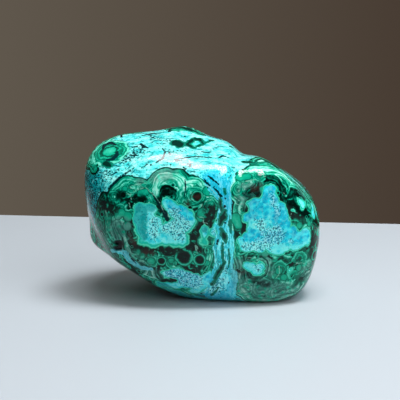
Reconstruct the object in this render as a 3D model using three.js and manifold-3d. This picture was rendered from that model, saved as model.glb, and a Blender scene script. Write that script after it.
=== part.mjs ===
// A polished freeform of chrysocolla and malachite: one piece of stone, ground and tumbled all over,
// that stands on a small ground flat.
//
// Millimetres, +Z up. The front, with the two large windows of malachite, faces -Y.
// The origin is on the surface that the stone stands on, under the middle of the stone's box.

import * as THREE from "three";
import { mergeVertices } from "three/addons/utils/BufferGeometryUtils.js";
import Module from "manifold-3d";

// The heart is the point that the stone's form is measured from. It lies this high above the ground flat.
const HEART_HEIGHT = 29.5;

// The flats that grinding left: the way each one faces, in degrees, and its distance from the heart.
// Azimuth turns from +X towards +Y, so -90 is the front, and elevation rises towards +Z.
const FLATS = [
  { name: "front left", azimuth: -98, elevation: 5, distance: 26.5 },
  { name: "front right", azimuth: -77, elevation: -4, distance: 26.5 },
  { name: "front low", azimuth: -98, elevation: -42, distance: 31 },
  { name: "plateau", azimuth: -92, elevation: 62, distance: 29.5 },
  { name: "top", azimuth: 100, elevation: 76, distance: 35.5 },
  { name: "top left", azimuth: 168, elevation: 50, distance: 58 },
  { name: "left end", azimuth: -168, elevation: 5, distance: 47.5 },
  { name: "left under", azimuth: -164, elevation: -24, distance: 40.5 },
  { name: "keel", azimuth: -160, elevation: -50, distance: 32.5 },
  { name: "right slope", azimuth: 40, elevation: 62, distance: 30 },
  { name: "right shoulder", azimuth: -12, elevation: 44, distance: 37 },
  { name: "right end", azimuth: -14, elevation: -2, distance: 46 },
  { name: "right low", azimuth: -12, elevation: -38, distance: 49.5 },
  { name: "foot", azimuth: 0, elevation: -90, distance: 31.5 },
  { name: "back", azimuth: 88, elevation: 8, distance: 28 },
  { name: "back left", azimuth: 138, elevation: 12, distance: 38 },
  { name: "back right", azimuth: 48, elevation: -8, distance: 36 },
  { name: "back top", azimuth: 92, elevation: 48, distance: 33 },
  { name: "back low", azimuth: 95, elevation: -42, distance: 33 },
];

// How crisply the flats meet. A larger number makes sharper edges.
const CRISPNESS = 9;

// Soft swellings, each a round bump of this width in degrees and this height.
const SWELLINGS = [
  { name: "left knob", azimuth: 170, elevation: 42, width: 18, height: 0.6 },
  { name: "crown", azimuth: 130, elevation: 74, width: 14, height: 3.6 },
  { name: "left heel", azimuth: -165, elevation: -20, width: 14, height: 2.2 },
  { name: "right heel", azimuth: -25, elevation: -38, width: 16, height: 0.8 },
  { name: "left heel point", azimuth: -176, elevation: -12, width: 8.5, height: 3 },
  { name: "saddle", azimuth: 45, elevation: 68, width: 13, height: 0.9 },
];

// The shallow valley over the top and down the front, between the two windows. It follows an upright
// plane that passes this far to the right of the heart, and it is deepest towards the top.
const VALLEY = {
  planeAzimuth: -2,
  planeElevation: -8,
  offset: 12.6,
  deepestAzimuth: -40,
  deepestElevation: 60,
  halfWidth: 5,
  depth: 2.6,
};

// The polish leaves the flats a little wavy.
const WAVE_HEIGHT = 0.35;

// The surface is a ball of this many squares along each edge of a cube.
const SQUARES = 26;

const STONE_COLOUR = 0x2a9488;
const STONE_ROUGHNESS = 0.16;

function facing(azimuth, elevation) {
  const turn = THREE.MathUtils.degToRad(azimuth);
  const rise = THREE.MathUtils.degToRad(elevation);
  return new THREE.Vector3(
    Math.cos(turn) * Math.cos(rise),
    Math.sin(turn) * Math.cos(rise),
    Math.sin(rise),
  );
}

// How far the rounded meeting of all the flats lies from the heart, along a direction.
function reachOfFlats(direction) {
  let sum = 0;
  for (const flat of FLATS) {
    const towards = direction.dot(facing(flat.azimuth, flat.elevation));
    sum += Math.max(0, towards / flat.distance) ** CRISPNESS;
  }
  return sum ** (-1 / CRISPNESS);
}

function swelling(direction) {
  let height = 0;
  for (const bump of SWELLINGS) {
    const angle = direction.angleTo(facing(bump.azimuth, bump.elevation));
    const away = THREE.MathUtils.radToDeg(angle) / bump.width;
    height += bump.height * Math.exp(-away * away);
  }
  return height;
}

function valley(direction, reach) {
  const right = direction.dot(facing(VALLEY.planeAzimuth, VALLEY.planeElevation)) * reach;
  const across = (right - VALLEY.offset) / VALLEY.halfWidth;
  const along = direction.dot(facing(VALLEY.deepestAzimuth, VALLEY.deepestElevation));
  return VALLEY.depth * Math.exp(-across * across) * Math.max(0, along) ** 2;
}

function wave({ x, y, z }) {
  const long = Math.sin(5.1 * x + 1.3) * Math.sin(4.3 * z + 0.4);
  const short = 0.7 * Math.sin(7.3 * y - 4.7 * x + 2.0);
  return WAVE_HEIGHT * (long + short);
}

function reach(direction) {
  const swollen = reachOfFlats(direction) + swelling(direction);
  return swollen - valley(direction, swollen) + wave(direction);
}

// A ball made from a box whose squares are spread evenly over it, pushed out to the stone's surface.
function groundSurface() {
  const box = new THREE.BoxGeometry(2, 2, 2, SQUARES, SQUARES, SQUARES);
  box.deleteAttribute("normal");
  box.deleteAttribute("uv");
  const surface = mergeVertices(box, 1e-4);
  const points = surface.getAttribute("position");
  const direction = new THREE.Vector3();
  for (let i = 0; i < points.count; i++) {
    direction.fromBufferAttribute(points, i);
    direction.set(...direction.toArray().map((side) => Math.tan((side * Math.PI) / 4)));
    direction.normalize();
    const point = direction.clone().multiplyScalar(reach(direction));
    points.setXYZ(i, point.x, point.y, point.z + HEART_HEIGHT);
  }
  return surface;
}

function solidOf(wasm, geometry) {
  return new wasm.Manifold(
    new wasm.Mesh({
      numProp: 3,
      vertProperties: geometry.getAttribute("position").array,
      triVerts: new Uint32Array(geometry.index.array),
    }),
  );
}

function geometryOf(solid) {
  const mesh = solid.getMesh();
  const geometry = new THREE.BufferGeometry();
  geometry.setAttribute("position", new THREE.BufferAttribute(mesh.vertProperties, 3));
  geometry.setIndex(new THREE.BufferAttribute(mesh.triVerts, 1));
  return geometry;
}

// Everything below the ground flat is cut away.
function cutFlat(wasm, surface) {
  const waste = new THREE.BoxGeometry(200, 200, 40).translate(0, 0, -20);
  waste.deleteAttribute("normal");
  waste.deleteAttribute("uv");
  const cutter = mergeVertices(waste, 1e-4);
  return geometryOf(solidOf(wasm, surface).subtract(solidOf(wasm, cutter)));
}

// The stone's box is centred over the origin.
function centre(geometry) {
  geometry.computeBoundingBox();
  const middle = geometry.boundingBox.getCenter(new THREE.Vector3());
  return geometry.translate(-middle.x, -middle.y, 0);
}

function makeStone(wasm) {
  const geometry = centre(cutFlat(wasm, groundSurface()));
  geometry.computeVertexNormals();
  const polish = new THREE.MeshStandardMaterial({
    color: STONE_COLOUR,
    roughness: STONE_ROUGHNESS,
    metalness: 0,
  });
  const stone = new THREE.Mesh(geometry, polish);
  stone.name = "stone";
  return stone;
}

const wasm = await Module();
wasm.setup();

const specimen = new THREE.Group();
specimen.add(makeStone(wasm));

export default specimen;
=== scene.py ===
"""A polished freeform of chrysocolla and malachite on a pale table.

The stone is one fine mesh of the form that the CAD solid has. Its markings are strokes on it: windows of
malachite, pools of chrysocolla, eyes and veins, placed in millimetres as one side shows them. Each
point of the mesh gets its depth inside each kind of marking. The material's nodes turn those depths into
growth bands, rims, grain and cracks.
"""

import math

import bmesh
import bpy
import numpy as np
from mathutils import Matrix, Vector


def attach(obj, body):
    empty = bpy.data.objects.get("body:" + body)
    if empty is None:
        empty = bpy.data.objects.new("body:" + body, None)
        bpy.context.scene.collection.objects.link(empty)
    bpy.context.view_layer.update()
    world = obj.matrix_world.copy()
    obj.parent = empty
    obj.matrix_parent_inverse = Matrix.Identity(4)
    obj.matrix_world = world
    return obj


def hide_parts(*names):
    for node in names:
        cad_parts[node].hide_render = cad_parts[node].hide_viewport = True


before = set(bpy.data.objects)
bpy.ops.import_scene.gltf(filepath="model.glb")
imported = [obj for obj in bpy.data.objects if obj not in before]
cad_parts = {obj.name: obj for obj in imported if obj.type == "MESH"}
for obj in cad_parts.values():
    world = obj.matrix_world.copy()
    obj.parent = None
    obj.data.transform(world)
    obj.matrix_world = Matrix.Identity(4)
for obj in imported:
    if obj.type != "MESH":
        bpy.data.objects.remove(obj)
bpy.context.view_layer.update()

MM = 0.001

# ---- The form ----
# In millimetres. It is the CAD solid's form on a finer mesh.

HEART_HEIGHT = 29.5

# The way that each ground flat faces, as azimuth and elevation, and its distance from the heart.
# Azimuth turns from +X towards +Y, so -90 is the front.
FLATS = (
    (-98, 5, 26.5),  # front left
    (-77, -4, 26.5),  # front right
    (-98, -42, 31),  # front low
    (-92, 62, 29.5),  # plateau
    (100, 76, 35.5),  # top
    (168, 50, 58),  # top left
    (-168, 5, 47.5),  # left end
    (-164, -24, 40.5),  # left under
    (-160, -50, 32.5),  # keel
    (40, 62, 30),  # right slope
    (-12, 44, 37),  # right shoulder
    (-14, -2, 46),  # right end
    (-12, -38, 49.5),  # right low
    (0, -90, 31.5),  # foot
    (88, 8, 28),  # back
    (138, 12, 38),  # back left
    (48, -8, 36),  # back right
    (92, 48, 33),  # back top
    (95, -42, 33),  # back low
)
CRISPNESS = 9

# Low round bumps: azimuth, elevation, width in degrees, height.
SWELLINGS = (
    (170, 42, 18, 0.6),  # left knob
    (130, 74, 14, 3.6),  # crown
    (-165, -20, 14, 2.2),  # left heel
    (-25, -38, 16, 0.8),  # right heel
    (-176, -12, 8.5, 3),  # left heel point
    (45, 68, 13, 0.9),  # saddle
)

VALLEY_PLANE = (-2, -8)
VALLEY_OFFSET = 12.6
VALLEY_DEEPEST = (-40, 60)
VALLEY_HALF_WIDTH = 5
VALLEY_DEPTH = 2.6
WAVE_HEIGHT = 0.35

SQUARES = 120  # along each edge of the cube that the mesh starts from
BASE_EDGE = 0.5  # how softly the ground flat meets the sides
SKIN = 0.1  # how far the fine mesh is kept inside the form, as the CAD solid's facets are
PIT_DEPTH = 0.9
PIT_EDGE = 0.7


def facing(azimuth, elevation):
    """The direction of unit length that has this azimuth and elevation, in degrees."""
    turn, rise = math.radians(azimuth), math.radians(elevation)
    return np.array((math.cos(turn) * math.cos(rise), math.sin(turn) * math.cos(rise), math.sin(rise)))


def reach(directions):
    """How far the stone's surface is from the heart along each direction."""
    total = np.zeros(len(directions))
    for azimuth, elevation, distance in FLATS:
        total += np.maximum(0, directions @ facing(azimuth, elevation) / distance) ** CRISPNESS
    result = total ** (-1 / CRISPNESS)
    for azimuth, elevation, width, height in SWELLINGS:
        angle = np.degrees(np.arccos(np.clip(directions @ facing(azimuth, elevation), -1, 1)))
        result += height * np.exp(-((angle / width) ** 2))
    across = (directions @ facing(*VALLEY_PLANE) * result - VALLEY_OFFSET) / VALLEY_HALF_WIDTH
    along = np.maximum(0, directions @ facing(*VALLEY_DEEPEST))
    result -= VALLEY_DEPTH * np.exp(-(across**2)) * along**2
    x, y, z = directions.T
    result += WAVE_HEIGHT * np.sin(5.1 * x + 1.3) * np.sin(4.3 * z + 0.4)
    result += WAVE_HEIGHT * 0.7 * np.sin(7.3 * y - 4.7 * x + 2.0)
    return result


def cut_flat(directions, reaches):
    """The reach that stops at the table, with a softened edge."""
    to_table = HEART_HEIGHT / np.maximum(-directions[:, 2], 1e-6)
    beyond = np.clip((reaches - to_table) / BASE_EDGE, -1, 1)
    rounded = reaches - BASE_EDGE * (beyond + 1) ** 2 / 4
    return np.where(beyond >= 1, to_table, rounded)


def cube_ball(squares):
    """A ball of unit size, made of squares spread evenly over it."""
    made = bmesh.new()
    bmesh.ops.create_cube(made, size=2)
    bmesh.ops.subdivide_edges(made, edges=made.edges[:], cuts=squares - 1, use_grid_fill=True)
    corners = np.array([v.co[:] for v in made.verts])
    corners = np.tan(corners * math.pi / 4)
    directions = corners / np.linalg.norm(corners, axis=1)[:, None]
    return made, directions


def outward_normals(made):
    made.normal_update()
    return np.array([v.normal[:] for v in made.verts])


def move_points(made, points):
    for vertex, point in zip(made.verts, points):
        vertex.co = point


# ---- Places and depths ----

VIEWING_DISTANCE = 379.7  # from the stone's middle to the eye that sees a side, in millimetres
MIDDLE_ABOVE_HEART = 0.8
OUTSIDE = -30.0  # the least depth that is kept


class Side:
    """One side of the stone, as it is seen from a little way off.

    Places on it are given across and up, in millimetres at the stone's middle.
    """

    def __init__(self, azimuth, elevation, points, normals, middle):
        self.toward = facing(azimuth, elevation)
        self.right = np.cross((0, 0, 1), self.toward)
        self.right /= np.linalg.norm(self.right)
        self.up = np.cross(self.toward, self.right)
        self.eye = middle + self.toward * VIEWING_DISTANCE
        offset = points - self.eye
        in_sight = np.einsum("ij,ij->i", normals, offset) < 0
        self.points = points[in_sight]
        offset = offset[in_sight]
        nearness = -VIEWING_DISTANCE / (offset @ self.toward)
        self.across = offset @ self.right * nearness
        self.above = offset @ self.up * nearness

    def point(self, across, up):
        """The point of the stone that is seen at a place."""
        away = (self.across - across) ** 2 + (self.above - up) ** 2
        return self.points[np.argmin(away)]

    def stroke(self, places):
        """A stroke's or a spot's points on the stone, each with its half width."""
        if isinstance(places, tuple):
            places = [places]
        return [(self.point(across, up), half_width) for across, up, half_width in places]


def stretches(stroke):
    """The pieces between one point of a stroke and the next. A single point is a round spot."""
    return zip(stroke, stroke[1:]) if len(stroke) > 1 else [(stroke[0], stroke[0])]


def from_stretch(points, start, end):
    """How far along a stretch each point is, from 0 to 1, and the way to it from there."""
    run = end - start
    along = np.clip((points - start) @ run / max(run @ run, 1e-9), 0, 1)
    return along, points - start - along[:, None] * run


def depth_inside(points, strokes, as_share=False):
    """How deep each point is inside the strokes, in millimetres or as a share of the half width."""
    deepest = np.full(len(points), OUTSIDE)
    for stroke in strokes:
        for (start, start_width), (end, end_width) in stretches(stroke):
            along, offset = from_stretch(points, start, end)
            width = start_width + along * (end_width - start_width)
            depth = width - np.linalg.norm(offset, axis=1)
            deepest = np.maximum(deepest, depth / width if as_share else depth)
    return deepest


def beside(points, normals, strokes):
    """How far each point is to one side or the other of the nearest stroke's line."""
    nearest = np.full(len(points), -OUTSIDE)
    result = nearest.copy()
    for stroke in strokes:
        for (start, _), (end, _) in stretches(stroke):
            _, offset = from_stretch(points, start, end)
            away = np.linalg.norm(offset, axis=1)
            side = np.cross(end - start, normals)
            side /= np.maximum(np.linalg.norm(side, axis=1), 1e-9)[:, None]
            closer = away < nearest
            nearest[closer] = away[closer]
            result[closer] = np.einsum("ij,ij->i", offset, side)[closer]
    return result


# ---- The markings ----
# A stroke is a list of places, each (across, up, half width). A place without a list is a round spot.

FRONT = {
    # The windows of malachite. The round ends along their tops make the scalloped arches.
    "window": (
        (-27, 4.8, 9.6), (-12.5, 9.4, 8.6), (-3.5, 8.5, 6.3),
        [(3.5, 3.5, 3.8), (0, -4, 5.5), (0, -15, 5.5)],
        [(-26, -4, 11), (-20, -10, 14), (-8, -14, 13), (-10, -22, 12)],
        [(-36.6, 7, 2), (-37.6, 2, 2.8), (-38.4, -4, 4.5)], [(-38, -7, 5), (-34, -14, 7), (-25, -20, 8)],
        [(-42, -3, 4), (-40, -9, 5), (-35, -15, 6), (-27, -21, 7), (-17, -26, 7), (-6, -31, 6)],
        [(-41, 16.6, 2.2), (-41.6, 22, 4.6), (-37, 28, 4.4), (-31.5, 30, 2.4), (-25, 31, 1.5),
         (-19, 31.8, 0.6)], [(-44.6, 15, 1), (-44.8, 8, 0.7)],
        [(-13.4, 32.4, 1.6), (-9, 32.4, 2.8), (-5, 33, 4.3), (-1.2, 31.2, 2.6)], (17.6, 9.6, 7.2),
        (23, 11.2, 9.6), (29, 9, 11.5), (35, 4, 12),
        [(21, 20, 3), (28, 19, 6.5), (36, 14, 9.5), (42.5, 6.6, 9.5), (45, -3, 8), (44, -14, 7)],
        [(24.5, 0, 12.8), (26, -14, 14.3), (26, -24, 14.3)], [(38, -4, 11), (38, -16, 12), (33, -25, 11)],
    ),
    # The pools of chrysocolla.
    "pool": (
        [(-23.6, 2, 2.2), (-23.3, -3, 2.3), (-24.2, -5.4, 2.0), (-21.6, -8.7, 3.2)],
        [(-20.5, 2.2, 2.2), (-18.8, 1.8, 1.9)], [(-21, -1, 3.6), (-18.8, -3, 3.4), (-16.8, -5, 3)],
        [(-13.2, 4.8, 2.2), (-9.2, 1.3, 3.5), (-5.6, -1.8, 3.9)], [(-19.5, -8.4, 3.9), (-8.2, -8.4, 3.9)],
        [(-14.5, -6.8, 3.4), (-7.5, -4.5, 4.2)], [(26.2, 8.6, 3), (25.6, 3.5, 4.4)],
        [(20.6, 3.4, 3.2), (22, -3, 5)], (17.2, -0.8, 2), [(29.4, 1.4, 3.4), (29.6, -3.4, 4.4)],
        [(34.4, -7.6, 3.2), (32, -9, 5)], [(38.6, -8.8, 3.8), (36, -10.6, 3.9)],
        [(17.9, -10.6, 4), (22, -10.6, 4.4)], [(24, -5, 7), (25, 0, 6), (28, -10.6, 5.2)],
        [(17.2, -18.9, 2.1), (20.6, -21, 3), (22.8, -19.3, 2.1)], [(0.9, -6.2, 1.9), (1.2, -10.6, 1.9)],
        [(38.2, 4.2, 2.2), (36.8, 5.2, 1.4)], [(42.1, 3.4, 1.6), (42.2, 0, 1.7)],
        [(-3.2, 26.9, 1.1), (-0.8, 26.9, 1)], [(34, 1.6, 0.9), (35.6, 0.8, 0.7)],
        [(33.2, -21.2, 0.9), (34.8, -20.8, 0.6)],
        [(-12.8, -22.4, 2.7), (-8, -22.5, 2.9), (-4.5, -25.5, 5), (-1, -26, 3.5)],
        [(3.4, -21.8, 1.4), (1.6, -25, 2.8), (-2.5, -29, 2.6)], [(5.4, -3.4, 0.8), (4.2, -7, 2)],
        [(-16, -27, 1.2), (-10, -29.4, 2.8), (-4, -31.4, 3.4), (3, -32.4, 2.6)],
        [(-17.4, -25.2, 1), (-14.4, -26.8, 2), (-10, -27, 2.6)], (19.4, -31.4, 0.7), (22.8, -31.8, 0.9),
    ),
    # Where the pools and veins are grainy.
    "grain": (
        [(-18, -2, 2.2), (-18.5, -7, 2.6)], [(-11.5, -3, 4.8), (-8, -5.5, 4.6)],
        [(-12, 0.5, 2), (-10, 2, 1.6)], [(26.6, 9, 0.8), (27, 4, 1.2), (29.5, 0, 1.2)], (22, -3.8, 2.4),
        [(24, -6.5, 2.2), (28, -8, 4), (24, -12, 2.8), (17.5, -12, 2.2)], (21, -20, 2),
        [(-4.4, -25.2, 5), (-12, -22, 2.6)], (4.3, -6.5, 1.6), [(7.5, -26, 2.2), (4.5, -29.3, 2.6)],
        (8.5, -21.5, 1.2), (34, -10, 1),
    ),
    # The pale vein that runs down between the windows, its branches, and a thin one at the lower left.
    "vein": (
        [(7, 15, 5.6), (7.4, 10, 3.8), (8.8, 7, 2.4), (9, 3, 2.4), (8.8, -1, 2.8), (8.4, -5, 2.6)],
        [(8.4, -5, 2.4), (9.1, -8, 3), (8.3, -13, 3.9), (9, -18, 3.2), (8.1, -22, 4.2), (8, -26, 5)],
        [(8, -26, 5), (7, -31, 6)], [(0.5, 15, 1.4), (4.5, 9.6, 1.6), (8, 5, 1.6)],
        [(-34, -14, 0.8), (-31, -13.8, 1.1), (-29, -14.8, 1.2), (-27, -17.8, 1.3), (-23, -20, 0.9),
         (-19, -20.8, 0.5)],
    ),
    # Dark green lenses and patches.
    "lens": (
        [(9.2, 1.6, 0.5), (8, -0.9, 1.8), (7, -3.6, 1)], [(7, 6.4, 0.4), (7.2, 4, 1.1), (7.8, 1.4, 0.6)],
        [(7.2, -5.4, 0.6), (8.2, -7.6, 1.3), (9.5, -10.6, 0.7)],
        [(7.8, -11, 0.45), (7.8, -14, 0.7), (8.1, -17.6, 0.5)],
        [(8.4, -18.4, 0.8), (6.8, -21, 1.2), (5.2, -24, 0.9)], [(4, -26.3, 0.8), (5.6, -24.4, 0.7)],
        [(10.4, -13, 0.2), (10.6, -17, 0.4), (10.2, -20, 0.2)],
        [(10.6, -0.5, 0.3), (10.8, -4, 0.6), (11, -7, 0.3)], [(6.4, -27.6, 0.4), (4, -30.6, 0.7)],
        [(8.6, 9.6, 0.5), (9.1, 8, 0.6)], [(-9.9, 27.2, 2.3), (-8.4, 26.6, 2.4)],
        [(-5.4, 26.8, 1.3), (-3, 28.6, 1.1), (-1, 28.6, 1.5), (0.6, 26.8, 0.8), (-3, 25.4, 0.8),
         (-5.4, 26.8, 1.3)], [(0.6, 26.8, 0.4), (3.8, 28.2, 0.9)],
        [(-10.5, 33.2, 1.3), (-5, 32.5, 1.9), (-1.8, 31.3, 1)],
        [(15.6, 20, 1), (18, 20, 1.2), (20.5, 19.6, 0.7)], [(10.8, 25.8, 0.6), (12.4, 25.3, 0.4)],
        [(-36.4, 19.6, 1.7), (-34.6, 18.8, 1.2)],
    ),
    # Narrow black slits, holes and streaks.
    "slit": (
        [(1, 13.4, 0.2), (1.6, 12.4, 0.5), (2.9, 11.2, 0.35)],
        [(2.4, 14.6, 0.25), (3.6, 13.9, 0.5), (5, 12.9, 0.3), (6.4, 11.6, 0.25)],
        [(4.4, 10.4, 0.2), (5.8, 9, 0.35), (6.9, 7.6, 0.3)], [(6.7, 7.7, 0.5), (7.4, 7.3, 0.6)],
        (9.2, 6.1, 0.4), (8.7, 3.2, 0.6), (9.2, -3.4, 0.4), [(6.4, -9.6, 0.3), (6, -11.2, 0.35)],
        (9.6, -20.6, 0.3), [(-37.8, 24.8, 0.4), (-37, 26.4, 0.9), (-34.8, 27.2, 1), (-32.9, 26.4, 0.4)],
        [(-35.8, 20.9, 0.5), (-33.6, 21.2, 0.9), (-32.2, 22.6, 0.9), (-31.7, 24.2, 0.3)],
        [(-34.4, 10.4, 0.5), (-32.8, 12.6, 0.5), (-31.3, 14, 0.4), (-29, 15.6, 0.4), (-26.2, 17.5, 0.3)],
        [(-22.8, 17.9, 0.2), (-20.5, 19.1, 0.3)],
        [(-17.6, 19.7, 0.3), (-14.6, 21.3, 0.6), (-13.9, 23.5, 0.4), (-15, 25.2, 0.2)],
        [(-10.4, 20.9, 0.4), (-6, 21.4, 0.4), (-2, 22, 0.35), (4, 21.7, 0.3)],
        [(-10, 20.2, 0.5), (-7.5, 20.6, 0.3)], [(6.6, 21.8, 0.4), (8, 22.3, 0.5), (9.2, 22.1, 0.4)],
        [(0, 24, 0.25), (2, 23.6, 0.4), (3.2, 23.4, 0.2)], [(6, 26, 0.25), (8, 25.7, 0.25)],
        (4.5, 24.8, 0.5), [(-23.2, 26.9, 0.5), (-21.8, 26, 0.8), (-20.6, 25.5, 0.4)],
        [(-22.6, 25.4, 0.4), (-22.4, 24.6, 0.3)], [(-26, 25.6, 0.4), (-24.7, 25.9, 0.4)],
        [(-25.8, 25, 0.3), (-25.4, 22.3, 0.3)], (-23.4, 29.4, 0.4), (-19.5, 18.8, 0.5), (-11.6, 18.9, 0.4),
        [(-5.3, 19.3, 0.4), (-4.2, 19.2, 0.5), (-4.4, 18.2, 0.6)], [(-7.2, 17.9, 0.3), (-5.9, 17.4, 0.4)],
        [(-26.8, -16.7, 0.35), (-25, -18.6, 0.3)], (-12.2, 31.6, 0.9), (-6.3, 29.7, 0.5),
        [(-27.5, 30.6, 0.3), (-22, 30.9, 0.4)], [(-6.2, 13.4, 0.2), (-6, 10, 0.3), (-6.4, 7, 0.2)],
        [(-18.6, 8, 0.3), (-15.4, 2.4, 0.5), (-13, -1.8, 0.7)], [(-13.8, 1, 0.4), (-12.8, -1.6, 0.7)],
    ),
    # Narrow pale threads.
    "thread": (
        [(-40.9, -2, 0.1), (-41.2, -5, 0.1), (-40.6, -8, 0.1)],
        [(-38.6, -3, 0.1), (-39, -6.5, 0.1), (-38.2, -11, 0.1)],
        [(-36.4, 1.5, 0.1), (-35.9, -2, 0.1), (-36, -7, 0.1)],
        [(-27.4, 10.7, 0.1), (-24.5, 11.5, 0.2), (-21.2, 12, 0.2)],
        [(-27.8, 10.2, 0.1), (-24.5, 9.4, 0.1), (-22, 9.8, 0.1)],
        [(-28, 8.2, 0.1), (-26.9, 7.6, 0.2), (-27, 6, 0.1)],
        [(-27, 7.8, 0.1), (-24.8, 8.8, 0.2), (-24.2, 9.9, 0.1)], [(-27.4, 4.2, 0.1), (-26.8, 2.8, 0.1)],
        [(-21, 10, 0.1), (-17.7, 7, 0.1), (-15.6, 4, 0.1), (-13.9, 0.4, 0.1)],
        [(-12.8, 0.9, 0.2), (-12.5, -0.6, 0.2)], [(-4, 6, 0.1), (-3.3, 5.4, 0.1)],
        [(-0.2, 3.2, 0.1), (1.2, 4.8, 0.1), (3.4, 5.5, 0.1)], [(-0.6, 4.6, 0.1), (0.1, 3.2, 0.1)],
        [(-0.8, -1.1, 0.1), (0.6, -1.5, 0.1), (0.8, -3, 0.1), (2.2, -3.4, 0.1)],
        [(-3, -9.4, 0.1), (-2.5, -12, 0.2), (-1.8, -14.4, 0.2)],
        [(-2, -11.7, 0.1), (-1.1, -13.2, 0.2), (-0.2, -14.2, 0.1)],
        [(0, 12.2, 0.1), (3, 10, 0.2), (5.4, 7.6, 0.2), (6.6, 6.2, 0.1)],
        [(12.2, 7, 0.1), (14.4, 5.2, 0.1)], [(13.2, 4.4, 0.1), (15, 2.8, 0.1)],
        [(14, 9, 0.1), (16, 12.4, 0.2), (20, 13.4, 0.2), (24, 14.4, 0.1)],
        [(15.4, -15.9, 0.1), (18.2, -16.5, 0.1), (21.6, -16.8, 0.1)],
        [(17.4, -26.9, 0.1), (18.2, -27.7, 0.1), (19.8, -28.2, 0.1)],
        [(29.4, -19.4, 0.2), (30, -22, 0.2), (28.6, -24, 0.2)],
        [(34.4, -20.6, 0.1), (36, -18.6, 0.2), (38.6, -18.2, 0.1), (40, -19.2, 0.1)],
        [(33, -2.4, 0.1), (34.4, 0.2, 0.1)], [(31.2, 8.4, 0.1), (31.6, 7.4, 0.1)],
    ),
    # Round eyes with a dark middle.
    "dark_eye": (
        (-15.2, -17.6, 1.9), (-6.6, -16.4, 3.5), (-0.7, -17.2, 2.4), (1.7, -22.6, 1.6), (-1.9, 6.9, 2.4),
        (-29.8, 7.4, 1.5),
    ),
    # Scallops: round, with fine rings.
    "ring_eye": (
        (37.2, -24.6, 6), (29.6, -21.4, 4), (23.4, -27.4, 4.2), (16.5, -28.6, 3.2), (30, -29, 3.6),
        (37.6, -17, 3.6), (17, 13.4, 3.4), (13.8, 9.8, 2.4), (22, 14.6, 2.6), (14.6, 1.8, 2),
        (-33.2, 6.8, 2.6), (-26.6, 10.4, 2.6), (-22.4, 9.4, 2.2), (-20.4, 10.8, 1.8), (-2, 7.8, 3.5),
        (3, 8.6, 2.6), (-31.4, 1.6, 2.4), (-19.4, -18, 2.6), (-11.4, -18.4, 2.4), (3, -13.4, 2),
        (-30.6, -6, 4.4), (41, -2, 2),
    ),
    # Eyes that are green all over, and the large one with many rings.
    "green_eye": (
        (-30.3, 0.6, 1.6), (-28, -0.9, 1.9), (-19.3, -17.8, 1.7), (-11.6, -17.6, 1.2), (0.4, 0.4, 2.2),
        [(12.8, -1.4, 2), (13.9, -4.5, 1.4)], (2, -18.4, 1.3), (-29, 9.6, 1.3),
        [(-23, 8, 1.6), (-21.5, 8.3, 1.4)], (-28.5, -4.6, 1.8), (-32, -0.5, 1.5), (2.5, 9, 2),
        (31, -24, 1.5), (37, -20.4, 1.5), (37.2, -3.9, 1.4), (40.8, -3.2, 1.2), (29, -21.6, 1.6),
        [(14.4, 14, 1.6), (17.5, 14.6, 1.4)],
    ),
    "target_eye": ((-34.9, 24.1, 7.7),),
    # Tints: pale bands, grey and brown stone, black stone, blue stone that in places is also painted
    # shade, and teal pools.
    "pale": ([(-14, 13, 6), (-5, 14, 2)], [(20, 17, 3), (26, 16.5, 4), (31, 14, 4.5), (35, 9.5, 3)]),
    "grey": (
        [(-18, 14.6, 2.4), (-12, 15.6, 2.4)], (-31, -6, 5), [(-41, -4, 4), (-39, -5, 3.5), (-37, -11, 4)],
        [(16, 5, 2.5), (17.5, 8.5, 4), (21, 10.5, 2)],
        [(15, -20, 4), (17, -27, 5), (24, -30, 6), (33, -31, 6)], [(24, -17.4, 2.4), (26, -22, 2)],
        [(44.6, -12, 3.4), (43, -22, 4), (37, -30, 4)], (-23, 12.3, 1.8), (38, 8.5, 3),
        [(-29, -13, 2), (-25, -18, 3), (-17, -23, 3)], [(-36, -12, 4), (-30, -19, 3.4)],
    ),
    "brown": (
        [(-3, 6.9, 0.9), (-0.9, 6.9, 0.9)], [(-25.5, -10.5, 1), (-27.4, -8.4, 0.8)],
        [(-21, -15, 1.2), (-18.6, -14.7, 0.6)], (15.2, -21.4, 1), [(19.4, 9.8, 0.9), (22, 10.6, 0.8)],
        (-5.4, 4.2, 0.9),
    ),
    "black": (
        [(-11.6, 32.6, 0.8), (-7, 33.4, 1.4), (-3.4, 33.4, 1.2)], [(-31, 7.2, 1.6), (-29.4, 7.6, 1.2)],
        [(-27, 5.2, 1.5), (-22, 6.4, 1)], [(-16, 5, 1.6), (-14.5, 0.5, 1.6)],
        [(31, 8, 1.5), (33.6, 5.4, 1.8), (37, 0.8, 1.5), (40.2, 1.5, 1)], [(3.6, 1.2, 2.6), (3, -3, 1.6)],
        [(-36.4, 7, 2), (-37.4, 2, 2), (-34.5, 2, 2.4)], [(-3, -6, 1.5), (-3.4, -11, 1.2)], (30, 11.4, 1),
        [(19.6, -25.6, 1), (25, -26.4, 1)], (38.4, -24, 1.2), (14, -7.6, 1.6),
        [(-22, -13.6, 1.2), (-12, -13.6, 1.4), (-6, -13.4, 1)],
    ),
    # Blue stone. The stroke down the left end and the one down the top of the vein, in the valley, are
    # also painted shade where the stone faces away from the light.
    "blue_and_shade": (
        [(-43, 16, 6), (-41.5, 10, 5.5), (-41.5, 4, 4.5), (-42, 0, 3.5)],
        [(-18, -27, 4), (-12, -29.5, 4), (-4, -31, 3.4), (4, -31, 3)],
        [(4, 13.5, 3.4), (8, 10, 4), (9, 3, 2.4)], [(11.6, -26, 1.2), (11, -29, 1.6)], (3, -24, 2),
        [(-4.4, -25.2, 4), (-12, -22, 2)], [(22, 3, 5), (26, 9, 3.5), (30, -1, 3.5), (33, -7, 3)],
        [(17, -8, 2.5), (38.5, -8.5, 2.5)], (16.8, -0.8, 2), [(-5, 0, 2.4), (-11.5, 4.6, 2)],
        [(19.4, -31.4, 1.5), (22.8, -31.8, 1.5)],
    ),
    "teal": (
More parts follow.
